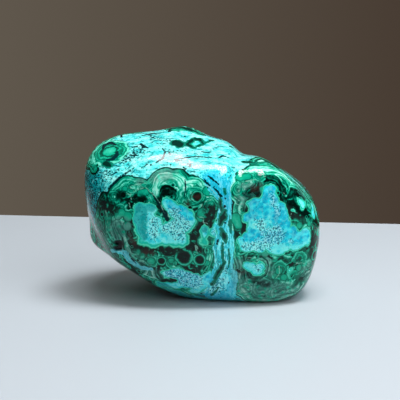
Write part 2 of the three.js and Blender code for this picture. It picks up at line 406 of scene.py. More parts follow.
        [(-23.5, 2, 3), (-23.3, -4, 2.6), (-22.6, -8, 2)], (-19, 3, 2), (0.6, -5, 2),
        [(-17, -26, 3.4), (-11, -29, 3.4), (-5, -31, 2.4)],
    ),
    # Where the streaks in the pale stone run aslant, and where it is full of specks.
    "slant": ([(-34, 16, 8), (-26, 24, 10), (-20, 20, 4)],),
    "dusty": (
        [(-36.6, 14, 3), (-33.5, 17.4, 2.6)], [(-29, 21, 2.4), (-24, 23.6, 2.6)],
        [(-19, 29.6, 2), (-14, 28, 2.4)], [(-12, 23, 1.6), (-8, 24, 1.2)],
    ),
    # Where the malachite is brighter.
    "bright": (
        [(24, -17, 5), (34, -17, 8), (36, -24, 8), (26, -28, 7), (18, -29, 5)],
        [(-16, -18, 2), (-10, -18, 3), (2, -17, 2.4)], [(13, 10, 2), (15, 13, 2.4), (20, 14, 2)],
        [(-33, 7, 2), (-28, 10.6, 2.4), (-22, 9, 2)], (-30.4, 0, 3), [(-18.6, 8, 2), (-17, 4, 1.4)],
        [(-4, 12, 2.4), (2, 8, 2.4)], (40, -4, 3),
    ),
    # Where a pool's rim is broad.
    "thick": (
        [(-25, -6, 2), (-22, -11.5, 2.6), (-6, -11.5, 2.6), (-3, -6, 2)], (1.4, -9, 3), (-1, 1, 1.6),
    ),
    # The front's one natural pit. It is sunk into the mesh and filled with painted shade.
    "pit": ([(-32.4, -10.9, 0.8), (-31, -11, 0.9), (-31.2, -12.6, 0.9), (-33, -13, 0.6)],),
}

BACK = {
    "window": (
        (-28, 6, 9), (-17, 9, 8), [(-24, -6, 14), (-25, -18, 12)], [(-38, -8, 8), (-34, -20, 8)],
        (13, 6, 7), (20, 9, 8), (28, 3, 8), [(17, -4, 9), (25, -10, 12), (18, -22, 10)],
        [(-6, -24, 7), (-14, -27, 8)], (1, 19, 3.4), (34, -22, 7),
    ),
    "pool": (
        [(-30, -1, 2.6), (-26, -3, 4.6), (-21, -4, 4)], [(-20, -1, 2.6), (-20, -7, 3.6)],
        [(-30, -8, 3.4), (-24, -10, 4.4), (-18, -11.6, 2.8)], (-25, 1.6, 2),
        [(15, -1, 2.4), (19, -3, 4), (24.6, -4, 3.4)], [(17, -8, 3.4), (22, -9, 4.4), (28, -8.6, 2.4)],
        (20, -14, 2.4), [(-11, -23, 1.8), (-14, -26, 2.4)], [(31, -19, 1.4), (33, -16.6, 1)],
        (-36, -14, 1.8), (-36, 0, 1.2), (9.6, -16, 1.4),
    ),
    "grain": ([(-24, -6, 4.6), (-27, -9, 2.8)], [(20, -6, 3), (24, -9, 2.6)], (-13, -24.6, 1.6)),
    "vein": (
        [(-3, 27, 3), (-5, 16, 2.4), (-3, 6, 2.8), (-1, -4, 2.4), (1, -14, 3), (4, -28, 4.5)],
        [(-2, 10, 1.2), (2.6, 3, 1.4), (2.4, -5, 1.2), (0, -12, 1.4)],
        [(35, 8, 0.8), (38, 0, 1.2), (37, -8, 1.2), (33, -14, 0.6)],
    ),
    "lens": (
        [(-3.8, 12, 0.5), (-3.6, 8, 1.1), (-2.6, 4, 0.5)],
        [(-1.6, -2, 0.4), (-1.4, -6, 0.8), (0, -10, 0.4)],
        [(1.6, -12, 0.5), (0.8, -16, 1), (2.2, -20, 0.5)], [(4, -21, 0.4), (5, -25, 1)],
        [(-12, 24, 1.8), (-7, 25, 1.2)], [(11, 25.6, 0.8), (15, 24, 1.6), (19, 22.6, 0.8)],
        [(-27, 22.6, 2), (-22, 23.6, 1.2)], [(30, 15, 1.4), (34, 11.6, 0.7)],
    ),
    "slit": (
        [(-8, 19, 0.4), (-12, 20, 0.5), (-16, 19.6, 0.3)], [(5, 12, 0.3), (6, 14.6, 0.5), (9, 16.6, 0.3)],
        [(5, -4, 0.4), (6.4, 0, 0.4)], [(-6.6, -3, 0.5), (-7, -6, 0.4)],
        [(-33, 17, 0.4), (-29, 18.4, 0.4)], [(22, 19.4, 0.4), (26, 18.8, 0.5)], (-33, 22, 0.5),
        [(-1, 23, 0.4), (2, 24.6, 0.4)], [(12, -27, 0.5), (15, -28.6, 0.4)],
    ),
    "thread": (
        [(-31, -18, 0.1), (-26, -20, 0.2), (-20, -19, 0.1)],
        [(-14, 2, 0.1), (-12, -3, 0.2), (-13, -8, 0.1)], [(-22, 12, 0.1), (-17, 11, 0.2), (-12, 13, 0.1)],
        [(12, -16, 0.1), (18, -17.4, 0.2), (24, -19, 0.1)], [(29, 4, 0.1), (31, -1, 0.1), (31, -6, 0.1)],
    ),
    "ring_eye": (
        (-15, 6, 3.4), (-33, 5, 3), (-28, 9, 3.4), (-14, -5, 3), (-30, -20, 4), (-22, -24, 4.4),
        (20, 8, 3.6), (27, 4, 3.2), (13, -12, 3), (26, -19, 4), (17, -24, 4),
    ),
    "dark_eye": (
        (-15, -16, 2.8), (-19, -20, 1.9), (29, -13, 2.4), (11, -5, 2), (-34, -5, 2.2), (-25, -16, 2),
    ),
    "green_eye": (
        (-12, -11, 1.8), (-31, -24, 2), (14, -19, 2), (31, -2, 1.8), (-17, 2, 1.6), (12, 2, 1.5),
    ),
    "target_eye": ((9, 20, 5),),
    "pale": ([(-20, 14, 4), (-30, 12, 4)], [(22, 14, 4), (30, 8, 3)]),
    "grey": ([(-30, -20, 5), (-20, -26, 5)], [(16, -22, 5), (28, -22, 5)], (10, 4, 3)),
    "brown": ([(-14, 0, 1), (-12, 1.6, 0.8)], (30, -8, 1)),
    "black": (
        [(-16, -8, 1.6), (-17, -12, 1.4)], [(-29, 3.4, 1.6), (-22, 4.2, 1.6)],
        [(14, -13, 1.4), (25, -14.6, 1.6)], (29, -2, 1.6),
    ),
    "blue_and_shade": (
        [(-20, -3, 2.4), (-29, -2, 3)], [(24, -4, 3), (28, -8, 2)], (6, -29, 3), [(40, 8, 5), (42, 16, 5)],
        (2, -14, 2),
    ),
    "teal": ((-31, -8, 2.6), (15, -2, 2.4)),
    "thick": ([(-28, -13, 3), (-18, -14, 3)], (18, -13, 3)),
    "dusty": ([(-10, 15, 3), (-8, 10, 3)], [(8, -22, 4), (9, -12, 2)], (30, 20, 4)),
    "bright": ([(-34, -20, 5), (-22, -24, 4)], (20, -20, 6)),
    "slant": ([(-20, 22, 6), (-30, 18, 6)],),
    "pit": ([(11, 9, 0.9), (12, 10, 0.7)],),
}

LEFT_END = {
    "window": ([(-10, 4, 7), (-12, -6, 8), (-8, -16, 8)], [(4, -12, 8), (8, -4, 4)]),
    "pool": ([(-11, -2, 2.6), (-10, -6, 3)], (-13, 4, 1.4), [(2, -12, 1.8), (4, -10, 1.2)]),
    "grain": ((-10.6, -5, 2),),
    "vein": ([(-20, 12, 1), (-21, 2, 2), (-20, -10, 2), (-16, -22, 2.6)],),
    "lens": ([(6, 16, 0.6), (2, 17.6, 1), (-3, 17, 0.6)],),
    "slit": ([(2, 10, 0.4), (0, 6, 0.5)], [(-1, 22, 0.4), (-6, 23, 0.5)], (8, 6, 0.4)),
    "dark_eye": ((-5, -14, 2.6), (-12, 9, 2)),
    "green_eye": ((-8, -10, 1.6), (1, -17, 1.8)),
    "black": ((-7, -9, 1.8),),
    # The blue here, like the front's stroke down this end, is also painted shade.
    "blue_and_shade": ([(8, 12, 6), (4, 2, 6)],),
    "pale": ((-14, 10, 3),),
}

RIGHT_END = {
    "window": ([(-16, 2, 9), (-16, -16, 10)], [(-6, -3, 7), (-7, -18, 8)], [(14, -3, 7), (13, -14, 8)]),
    "pool": (
        [(-7, -6, 2.4), (-6, -10, 3), (-8, -13, 2.4)], [(14, -8, 2.6), (13, -12, 2.6)], (-10, 3, 1.3),
    ),
    "grain": ((-6.4, -10, 2),),
    "vein": ([(2, 18, 1.6), (3, 8, 2), (4, -4, 1.6), (3, -16, 2.2), (5, -28, 3)],),
    "lens": ([(3, 6, 0.5), (3.6, 2, 0.9), (3.4, -2, 0.5)], [(8, 14, 1.2), (12, 13, 0.8)]),
    "slit": ([(6, 8, 0.4), (9, 9, 0.5)], [(-4, 13, 0.4), (-1, 14, 0.4)]),
    "dark_eye": ((-13, -14, 2.4), (-4, -21, 2.6), (12, -19, 2)),
    "green_eye": ((-12, -5, 1.7), (-13, -20, 1.8)),
    "target_eye": ((11, 5, 4.4),),
    "grey": ([(-8, -24, 6), (-16, -20, 4)],),
    "black": ((-11, -9, 1.8), (-3, -14, 1.4)),
    "blue_and_shade": ((-7, -8, 2.4),),
    "pale": ((-8, 4, 3),),
}

TOP = {
    "window": ((-6, 10, 4.6), (-12, 13, 3.4), (20, 14, 5), (30, 6, 5)),
    "pool": ([(-7, 10, 1.8), (-5, 11.4, 1.2)],),
    "lens": (
        [(-28, 8, 1.4), (-24, 9, 0.8)], [(8, 10, 0.6), (12, 11, 1.1)], [(-20, 16, 0.8), (-16, 17.6, 0.5)],
    ),
    "slit": (
        [(-24, 2, 0.4), (-20, 3.6, 0.6), (-17, 3.4, 0.3)], [(-2, 4, 0.3), (4, 5, 0.5), (9, 4.4, 0.3)],
        (14, 4, 0.5), [(-32, 2, 0.5), (-33, 6, 0.4)], [(4, 14, 0.4), (8, 16, 0.4)],
        [(-14, 6, 0.4), (-11, 6.6, 0.3)],
    ),
    "green_eye": ((21, 14, 2.2), (-12, 13.4, 1.6)),
    "pale": ((22, 12, 3),),
    "black": ((-4, 13, 1.6),),
}

UNDERSIDE = {
    "window": ([(-22, 0, 14), (-8, 4, 12)], [(24, 0, 13), (30, -6, 10)], (4, 8, 7)),
    "pool": ([(-24, 4, 3), (-19, 2, 3.6), (-16, 6, 2.6)], [(22, -2, 3.4), (27, 1, 3)], (-6, -4, 2)),
    "grain": ((-20, 3, 2.4), (24, 0, 2.2)),
    "vein": ([(8, -20, 4), (7, -8, 2.6), (9, 2, 2.4), (8, 12, 3), (10, 22, 4)],),
    "lens": ([(8, -6, 0.5), (7.6, 0, 1), (8.6, 4, 0.5)],),
    "dark_eye": ((-12, 10, 2.6), (18, 8, 2.6), (-30, -3, 2.4)),
    "green_eye": ((-10, -8, 2), (32, 4, 2)),
    "grey": ((20, -8, 6), (-30, 0, 5)),
    "blue_and_shade": ([(-22, -12, 5), (-8, -16, 5)], (8, 16, 4)),
    "black": ((-14, 0, 2), (16, 2, 2)),
}

# The way that each side faces, as azimuth and elevation, and its markings.
FRONT_VIEW = (-90, 13)
SIDES = (
    (*FRONT_VIEW, FRONT),
    (90, 10, BACK),
    (180, 0, LEFT_END),
    (0, 0, RIGHT_END),
    (-90, 85, TOP),
    (-90, -85, UNDERSIDE),
)


# ---- The stone's mesh, with its depths ----

SHARES = ("ring_eye", "green_eye", "dark_eye", "target_eye")
TINTS = ("pale", "grey", "brown", "black", "blue_and_shade", "teal", "slant", "dusty", "thick", "bright")
TINT_EDGE = 2.0  # how far a tint takes to fade


def as_tint(depth):
    """A depth as a share that fades from 1 inside to 0 outside."""
    return np.clip(depth / TINT_EDGE + 0.5, 0, 1)


def all_strokes(points, normals, middle):
    """Every stroke of each kind, from all sides."""
    strokes = {}
    for azimuth, elevation, kinds in SIDES:
        side = Side(azimuth, elevation, points, normals, middle)
        for kind, drawn in kinds.items():
            strokes.setdefault(kind, []).extend(side.stroke(places) for places in drawn)
    return strokes


def markings(points, normals, strokes):
    """The depth of each point inside each kind of marking."""
    found = {}
    for kind, drawn in strokes.items():
        depth = depth_inside(points, drawn, kind in SHARES)
        found[kind] = as_tint(depth) if kind in TINTS else depth
    found["beside_thread"] = beside(points, normals, strokes["thread"])
    return found


def make_stone():
    """The stone's object and the place of its middle, in millimetres."""
    made, directions = cube_ball(SQUARES)
    points = directions * cut_flat(directions, reach(directions) - SKIN)[:, None]
    shift = np.append((points.max(axis=0) + points.min(axis=0))[:2] / -2, HEART_HEIGHT)
    points += shift
    points[:, 2] = np.maximum(points[:, 2], 0)
    move_points(made, points)
    normals = outward_normals(made)
    middle = shift + (0, 0, MIDDLE_ABOVE_HEART)
    strokes = all_strokes(points, normals, middle)
    depths = markings(points, normals, strokes)
    sunk = np.clip(depths["pit"] / PIT_EDGE + 0.5, 0, 1) * PIT_DEPTH
    move_points(made, points - normals * sunk[:, None])
    mesh = bpy.data.meshes.new("polished_stone")
    bmesh.ops.scale(made, vec=(MM, MM, MM), verts=made.verts)
    made.to_mesh(mesh)
    made.free()
    for name, values in depths.items():
        mesh.attributes.new(name, "FLOAT", "POINT").data.foreach_set("value", values.astype(np.float32))
    mesh.shade_smooth()
    stone = bpy.data.objects.new("polished_stone", mesh)
    bpy.context.scene.collection.objects.link(stone)
    return stone, middle


# ---- The material ----


def paint(red, green, blue_and_shade):
    """A colour given in display values from 0 to 255, as the shader wants it."""

    def linear(value):
        share = value / 255
        return share / 12.92 if share <= 0.04045 else ((share + 0.055) / 1.055) ** 2.4

    return (linear(red), linear(green), linear(blue_and_shade), 1)


def tones(*rows):
    """The stops of a colour ramp, from rows of a value and the display values of its colour."""
    return [(at, paint(*colour)) for at, *colour in rows]


class Value:
    """What a node gives out. Sums, differences, products and quotients of values make further nodes."""

    def __init__(self, made, socket):
        self.made = made
        self.socket = socket

    def __add__(self, other):
        return self.made.math("ADD", self, other)

    def __sub__(self, other):
        return self.made.math("SUBTRACT", self, other)

    def __rsub__(self, other):
        return self.made.math("SUBTRACT", other, self)

    def __mul__(self, other):
        return self.made.math("MULTIPLY", self, other)

    def __truediv__(self, other):
        return self.made.math("DIVIDE", self, other)

    def __neg__(self):
        return self * -1

    def share(self, low, high):
        """0 at low, 1 at high, and even between."""
        return self.made.node("MapRange", {"Value": self, "From Min": low, "From Max": high})

    def rise(self, low, high):
        """0 up to low, 1 from high, and smooth between. With low above high it falls instead."""
        inputs = {"Value": self, "From Min": low, "From Max": high}
        return self.made.node("MapRange", inputs, interpolation_type="SMOOTHSTEP")


class Recipe:
    """The nodes of a material or of the room. Each method adds a node or a few and gives their value."""

    def __init__(self, tree, coordinates, scale):
        self.tree = tree
        place = self.node("TexCoord", {}, coordinates)
        self.place = self.node("VectorMath", {0: place, "Scale": scale}, operation="SCALE")

    def node(self, kind, inputs, output=0, **settings):
        made = self.tree.nodes.new("ShaderNode" + kind)
        for name, value in settings.items():
            setattr(made, name, value)
        for name, value in inputs.items():
            self.plug(made.inputs[name], value)
        if isinstance(output, tuple):
            return [Value(self, made.outputs[name]) for name in output]
        return Value(self, made.outputs[output])

    def plug(self, socket, value):
        if isinstance(value, Value):
            self.tree.links.new(value.socket, socket)
        else:
            socket.default_value = value

    def math(self, operation, *values):
        return self.node("Math", dict(enumerate(values)), operation=operation)

    def depth(self, kind, *waves):
        """How deep each place is inside a kind of marking, whose edges wander by these waves."""
        return self.wandering(self.node("Attribute", {}, "Fac", attribute_name=kind), *waves)

    def mix(self, amount, start, end):
        return self.node("Mix", {0: amount, 6: start, 7: end}, 2, data_type="RGBA")

    def blend(self, amount, start, end):
        return self.node("Mix", {0: amount, 2: start, 3: end}, 0, data_type="FLOAT")

    def noise(self, size, detail=2, stretch=(1, 1, 1), shift=(0, 0, 0), turn=(0, 0, 0), roughness=0.5):
        """Cloudy noise about 0.5, whose clouds are about this many millimetres across."""
        settings = {
            "Vector": self.place,
            "Scale": tuple(size * side for side in stretch),
            "Rotation": tuple(math.radians(angle) for angle in turn),
            "Location": tuple(size * step for step in shift),
        }
        place = self.node("Mapping", settings, vector_type="TEXTURE")
        inputs = {"Vector": place, "Scale": 1, "Detail": detail, "Roughness": roughness}
        return self.node("TexNoise", inputs, "Fac")

    def cells(self, size):
        """How far each place is from its cell's middle, for cells about this many millimetres across."""
        return self.node("TexVoronoi", {"Vector": self.place, "Scale": 1 / size}, "Distance") * size

    def bands(self, depth, thickness, drift=14):
        """Growth bands this thick, which follow a depth and change slowly along their length."""
        place = self.node("VectorMath", {0: self.place, "Scale": 1 / drift}, operation="SCALE")
        inputs = {"Vector": place, "W": depth * (1 / thickness), "Scale": 1, "Detail": 2}
        return self.node("TexNoise", inputs, "Fac", noise_dimensions="4D")

    def lobed(self, depth, *lobes):
        """A depth whose edges swell into round lobes, each set given by its amount and its size."""
        for amount, size in lobes:
            depth = depth - (self.cells(size) - size / 2) * amount
        return depth

    def wandering(self, depth, *waves):
        """A depth whose edges wander by up to about half of each amount, over each size."""
        for amount, size in waves:
            depth = depth + (self.noise(size) - 0.5) * amount
        return depth

    def ramp(self, value, stops):
        """The colour at a value, from stops of (value, colour) in rising order."""
        low, high = stops[0][0], stops[-1][0]
        ramp = self.tree.nodes.new("ShaderNodeValToRGB")
        self.plug(ramp.inputs[0], value.share(low, high))
        elements = ramp.color_ramp.elements
        while len(elements) < len(stops):
            elements.new(1)
        for element, (at, colour) in zip(elements, stops):
            element.position = (at - low) / (high - low)
            element.color = colour
        return Value(self, ramp.outputs[0])

    def curve(self, value, stops):
        """The number at a value, from stops of (value, number from 0 to 1) in rising order."""
        return self.ramp(value, [(at, (number, number, number, 1)) for at, number in stops])


# Malachite from its darkest to its palest tone, and greyed malachite.
TONES = tones(
    (0.0, 0, 20, 15), (0.15, 0, 40, 31), (0.3, 0, 86, 68), (0.45, 0, 124, 98), (0.6, 8, 164, 130),
    (0.75, 58, 192, 162), (0.9, 112, 218, 196), (1.0, 150, 230, 210),
)
GREY_TONES = tones(
    (0.0, 4, 20, 18), (0.15, 16, 46, 42), (0.3, 30, 84, 76), (0.45, 48, 114, 102), (0.6, 68, 142, 126),
    (0.75, 100, 172, 154), (1.0, 160, 206, 192),
)
# The tone at a depth from a window's edge, along the pale arches and the green ones.
PALE_ARCH = (
    (-0.3, 0.22), (0.3, 0.26), (0.8, 0.5), (1.3, 0.4), (1.9, 0.64), (2.6, 0.74), (3.3, 0.74), (3.8, 0.52),
    (4.4, 0.62), (4.9, 0.4), (5.5, 0.58), (6.1, 0.36), (6.7, 0.5), (7.4, 0.3), (8.2, 0.2), (9.3, 0.16),
    (10.2, 0.42), (11.4, 0.46), (12.5, 0.25),
)
GREEN_ARCH = (
    (-0.3, 0.2), (0.35, 0.2), (0.8, 0.5), (1.6, 0.42), (2.4, 0.3), (3.1, 0.58), (3.9, 0.45), (4.6, 0.12),
    (5.2, 0.5), (5.5, 0.66), (6.2, 0.36), (7.5, 0.14), (8.8, 0.3), (10.0, 0.42), (11.0, 0.18), (12.5, 0.3),
)
# The tone at a distance from the middle of a bubble.
BUBBLE = (
    (0.0, 0.52), (0.7, 0.46), (1.1, 0.24), (1.5, 0.7), (1.8, 0.5), (2.3, 0.3), (2.6, 0.6), (2.9, 0.42),
    (3.4, 0.14), (4.4, 0.08),
)
# The tone at a distance outside a pool.
BESIDE_POOL = (
    (0.0, 0.3), (0.5, 0.1), (1.4, 0.06), (2.2, 0.3), (2.8, 0.12), (3.6, 0.4), (4.2, 0.68), (4.7, 0.4),
    (5.6, 0.3),
)
# The tone of each kind of eye, from its edge at 0 to its middle at 1.
EYES = {
    "ring_eye": (
        (0.0, 0.2), (0.07, 0.46), (0.15, 0.78), (0.24, 0.54), (0.4, 0.38), (0.5, 0.64), (0.58, 0.4),
        (0.8, 0.36), (1.0, 0.26),
    ),
    "green_eye": ((0.0, 0.2), (0.12, 0.42), (0.3, 0.56), (1.0, 0.64)),
    "dark_eye": (
        (0.0, 0.2), (0.08, 0.4), (0.18, 0.74), (0.26, 0.6), (0.36, 0.24), (0.5, 0.04), (0.75, 0.02),
        (1.0, 0.14),
    ),
    "target_eye": (
        (0.0, 0.4), (0.05, 0.8), (0.14, 0.84), (0.19, 0.5), (0.25, 0.36), (0.3, 0.66), (0.34, 0.36),
        (0.44, 0.42), (0.5, 0.66), (0.54, 0.34), (0.64, 0.2), (0.68, 0.5), (0.74, 0.62), (1.0, 0.74),
    ),
}

# Pale stone. Its blue is also painted shade where the stone faces away from the light.
STREAK = paint(34, 158, 162)
BLUE_STONE_AND_SHADE = paint(0, 154, 158)
HALO = paint(30, 140, 146)
MATRIX_TONES = tones(
    (0.38, 40, 184, 188), (0.44, 80, 220, 218), (0.52, 124, 236, 230), (0.63, 158, 244, 236),
)
# Dark stone, what lies over the rest, and the painted shade in the pits.
DEEP_GREEN = paint(0, 64, 52)
BROWN_STONE = paint(50, 34, 30)
PIT_SHADE = paint(0, 14, 14)
INK = paint(0, 40, 44)
LENS_EDGE = paint(4, 116, 94)
LENS_GREEN = paint(0, 44, 36)
THREAD = paint(136, 208, 186)
WHITE_GRAIN = paint(170, 240, 238)
BLUE_GRAIN = paint(4, 76, 98)
# Pools: pale ones, blue ones and teal ones.
POOL_TONES = tones((0.4, 30, 204, 214), (0.5, 66, 226, 230), (0.6, 124, 236, 230))
BLUE_POOL_TONES = tones((0.4, 0, 160, 194), (0.5, 0, 190, 216), (0.6, 30, 220, 232))
TEAL = paint(0, 138, 134)
LIGHT_TEAL = paint(20, 168, 166)
PEARL = paint(120, 238, 236)
BLUE_BEAD = paint(0, 170, 202)
POOL_LINE = paint(110, 236, 230)
# The colour across a pool's rim, from outside it to where the pool's own colour begins.
POOL_RIM = tones(
    (-0.1, 0, 64, 52), (0.08, 6, 140, 106), (0.3, 86, 222, 188), (0.5, 8, 188, 156), (0.78, 0, 190, 168),
    (0.95, 60, 214, 200), (1.2, 40, 208, 208),
)
# Veins: the colours of their lines, and of the streaks and tints over them. Their blue is also painted
# shade at the top of the vein, in the valley.
VEIN_LINES = tones(
    (0.3, 170, 246, 244), (0.4, 110, 236, 240), (0.5, 50, 214, 226), (0.56, 20, 184, 200),
    (0.6, 60, 210, 216), (0.64, 0, 100, 92), (0.68, 60, 196, 200), (0.75, 90, 226, 228),
)
VEIN_PALE = paint(120, 242, 244)
VEIN_DEEP = paint(30, 176, 186)
VEIN_BLUE_AND_SHADE = paint(6, 168, 204)
VEIN_GREY = paint(92, 164, 172)


def matrix_colour(made):
    """The pale chrysocolla between the windows, with milky clouds, dark streaks and specks. Its blue, with
    more specks, is also painted shade where the stone faces away from the light.
    """
    cloud = made.noise(2.2, detail=6, stretch=(1.5, 1, 1), roughness=0.66)
    colour = made.ramp(cloud, MATRIX_TONES)
    streaks = {"size": 0.8, "detail": 3, "stretch": (6, 1.5, 1.2), "shift": (4, 0, 0)}
    slanted = made.noise(**streaks, turn=(0, -33, 33))
    flow = made.blend(made.depth("slant"), made.noise(**streaks), slanted)
    colour = made.mix(flow.rise(0.53, 0.63) * 0.75, colour, STREAK)
    # Blue stone, which is also painted shade at the left end and in the vein's valley.
    blue_and_shade = made.depth("blue_and_shade")
    colour = made.mix(blue_and_shade * made.noise(1.6, detail=4).rise(0.2, 0.55), colour, BLUE_STONE_AND_SHADE)
    colour = made.mix(flow.rise(0.655, 0.69), colour, DEEP_GREEN)
    speck = made.noise(0.55, detail=4, stretch=(1.5, 1, 1), shift=(0, 7, 3), roughness=0.66)
    dust = made.noise(4, detail=2, shift=(9, 2, 5))
    more = made.math("MAXIMUM", blue_and_shade, made.depth("dusty"))
    over = speck - (made.blend(dust, 0.72, 0.5) - more * 0.1)
    colour = made.mix(over.rise(-0.07, 0.0) * 0.6, colour, HALO)
    return made.mix(over.rise(-0.01, 0.04), colour, INK)


def small_eyes(made, tone, size, radius, without):
    """Small round eyes, in all but this share of the cells."""
    inputs = {"Vector": made.place, "Scale": 1 / size}
    distance, chance = made.node("TexVoronoi", inputs, ("Distance", "Color"))
    chance, twist = made.node("SeparateColor", {0: chance}, (0, 1))
    reach = made.blend(twist, radius * 0.6, radius * 1.2)
    inside = made.wandering(1 - distance * size / reach, (0.35, radius))
    there = inside.rise(0, 0.08) * chance.rise(without, without + 0.01)
    dark = made.curve(inside, EYES["dark_eye"])
    green = made.curve(inside, EYES["green_eye"])
    return made.blend(there, tone, made.blend(twist.rise(0.45, 0.55), dark, green))


def malachite_colour(made, edge, window, pool):
    """Growth bands that follow the windows' edges, and near a pool the pool's edge."""
    pale = made.depth("pale")
    grey = made.depth("grey")
    tone = made.blend(pale, made.curve(edge, GREEN_ARCH), made.curve(edge, PALE_ARCH))
    outside = -made.wandering(pool, (0.8, 2))
    near = outside.rise(5, 3.5) * window.rise(4, 6)
    tone = made.blend(near, tone, made.curve(outside, BESIDE_POOL))
    bubble = made.wandering(made.cells(6), (1.6, 4), (0.5, 1.2))
    bubbly = made.noise(3.6, shift=(8, 3, 3)).rise(0.42, 0.5) * edge.rise(2, 4)
    bubbly = bubbly * (1 - pale) * (1 - grey * 0.8)
    tone = made.blend(bubbly * 0.9, tone, made.curve(bubble, BUBBLE))
    bands = made.bands(made.blend(near, edge, outside), 0.6) - 0.5
    cloud = made.noise(1.6, detail=4, shift=(2, 6, 1), roughness=0.6) - 0.5
    tone = tone + bands * made.blend(bubbly, 1.4, 0.3) + cloud * made.blend(bubbly, 0.6, 0.35)
    tone = made.blend(grey * 0.3, tone * 1.45 - 0.1, 0.5)
    tone = tone + made.depth("bright") * 0.2
    tone = small_eyes(made, tone, 4.5, 1.6, 0.72)
    tone = small_eyes(made, tone, 2.1, 0.8, 0.86)
    patches = made.noise(2.6, detail=2, shift=(7, 7, 2)).rise(0.4, 0.5) * (1 - grey * 0.45)
    for kind, stops in EYES.items():
        uneven, shown = (0.6, patches) if kind == "ring_eye" else (0.38, 1)
        eye = made.depth(kind, (uneven, 2.4), (0.12, 0.8))
        fine = made.curve(eye, stops) + (bands + cloud) * 0.25
        tone = made.blend(eye.rise(-0.02, 0.03) * shown, tone, fine)
    black = made.depth("black") * made.noise(1.4, detail=3).rise(0.36, 0.52)
    tone = tone * (1 - black * 0.88)
    greyed = grey * made.noise(1.8, detail=4).rise(0.34, 0.5)
    return made.mix(greyed, made.ramp(tone, TONES), made.ramp(tone, GREY_TONES))


def grain_colour(made, colour):
    """Blue-black and white grain over a colour, at its densest deep inside the grainy places."""
    dense = made.depth("grain", (3, 3), (2, 1)).rise(-1.2, 1.4)
    fine = made.noise(0.52, detail=3, roughness=0.6)
    over = (fine - made.blend(dense, 0.63, 0.51)).rise(0, 0.07)
    under = (made.blend(dense, 0.32, 0.5) - fine).rise(0, 0.07)
    colour = made.mix(under * 0.7, colour, WHITE_GRAIN)
    return made.mix(over * 0.85, colour, BLUE_GRAIN)


def pool_colour(made, pool):
    """A pool of chrysocolla: clouds, beads and a line along its edge, with grain and a green rim."""
    cloud = made.noise(2.2, detail=5, shift=(3, 1, 8), roughness=0.6)
    blue_and_shade = made.depth("blue_and_shade", (0.8, 1.6)).rise(0.3, 0.7)
    teal = made.depth("teal", (0.6, 1.6)).rise(0.3, 0.8)
    colour = made.mix(blue_and_shade, made.ramp(cloud, POOL_TONES), made.ramp(cloud, BLUE_POOL_TONES))
    beads = made.wandering(made.cells(1.7), (0.5, 0.7))
    colour = made.mix(beads.rise(0.8, 1.1) * made.blend(blue_and_shade, 0.6, 0.3), colour, PEARL)
    colour = made.mix(beads.rise(0.6, 0.2) * blue_and_shade * 0.7, colour, BLUE_BEAD)
    line = pool.rise(1.0, 1.4) * pool.rise(2.2, 1.6)
    some = made.noise(2.5, shift=(5, 5, 0)).rise(0.42, 0.56) * made.blend(blue_and_shade, 0.7, 0.2)
    colour = made.mix(line * some, colour, POOL_LINE)
    teals = made.mix(cloud.rise(0.4, 0.6), TEAL, LIGHT_TEAL)
    colour = grain_colour(made, made.mix(teal * 0.85, colour, teals))
    rim = pool / made.blend(made.depth("thick"), 0.7, 1.6)
    return made.mix(rim.rise(1.2, 0.7), colour, made.ramp(rim, POOL_RIM))


def vein_colour(made, vein):
    """A pale vein: lines that follow it and streaks that run down it."""
    line = made.bands(made.wandering(vein, (1.4, 2.5), (0.5, 0.8)), 0.75, drift=7)
    colour = made.ramp(line, VEIN_LINES)
    streak = made.noise(0.7, detail=3, stretch=(1, 1, 5), shift=(3, 3, 3))
    colour = made.mix(streak.rise(0.44, 0.38), colour, VEIN_PALE)
    colour = made.mix(streak.rise(0.58, 0.64), colour, VEIN_DEEP)
    # Blue, which at the top of the vein is painted shade.
    colour = made.mix(made.depth("blue_and_shade") * 0.6, colour, VEIN_BLUE_AND_SHADE)
    colour = made.mix(made.depth("grey") * 0.55, colour, VEIN_GREY)
    colour = made.mix(streak.rise(0.67, 0.7), colour, DEEP_GREEN)
    return grain_colour(made, colour)


def stone_colour(made):
    """The whole surface: each kind of marking is laid over the ones before it."""
    window = made.depth("window")
    edge = made.wandering(made.lobed(window, (0.35, 5), (0.1, 1.8)), (0.4, 1.6))
    pool = made.wandering(made.lobed(made.depth("pool"), (0.45, 4), (0.4, 1.7)), (0.5, 0.8))
    vein = made.wandering(made.lobed(made.depth("vein"), (0.35, 2.5)), (0.9, 1.4))
    inside = made.math("MAXIMUM", edge, made.depth("target_eye"))
    green = malachite_colour(made, edge, window, pool)
    colour = made.mix(inside.rise(-0.1, 0.1), matrix_colour(made), green)
    cloud = made.noise(1.8, detail=4).rise(0.36, 0.56)
    land = made.math("MINIMUM", window, -pool).rise(0, 0.3)
    colour = made.mix(made.depth("brown") * cloud * land, colour, BROWN_STONE)
    colour = made.mix(pool.rise(-0.1, 0.1), colour, pool_colour(made, pool))
    colour = made.mix(vein.rise(-0.1, 0.1), colour, vein_colour(made, vein))
    lens = made.depth("lens", (1.5, 1.6), (0.5, 0.6))
    colour = made.mix(lens.rise(-0.15, 0.15), colour, LENS_EDGE)
    colour = made.mix(lens.rise(0.3, 0.9), colour, LENS_GREEN)
    slit = made.depth("slit", (0.6, 0.8), (0.3, 0.4))
    colour = made.mix(slit.rise(-0.12, 0.12), colour, INK)
    away = made.math("ABSOLUTE", made.depth("beside_thread", (0.8, 1.2)))
    thread = away.rise(0.24, 0.1) * made.depth("thread").rise(-0.4, 0.1)
    thread = thread * made.noise(1.1, detail=3, shift=(1, 1, 9)).rise(0.4, 0.55)
    colour = made.mix(thread * 0.65, colour, THREAD)
    # The pits are filled with black: painted shade inside them.
    return made.mix(made.depth("pit").rise(-0.6, 0.2), colour, PIT_SHADE)


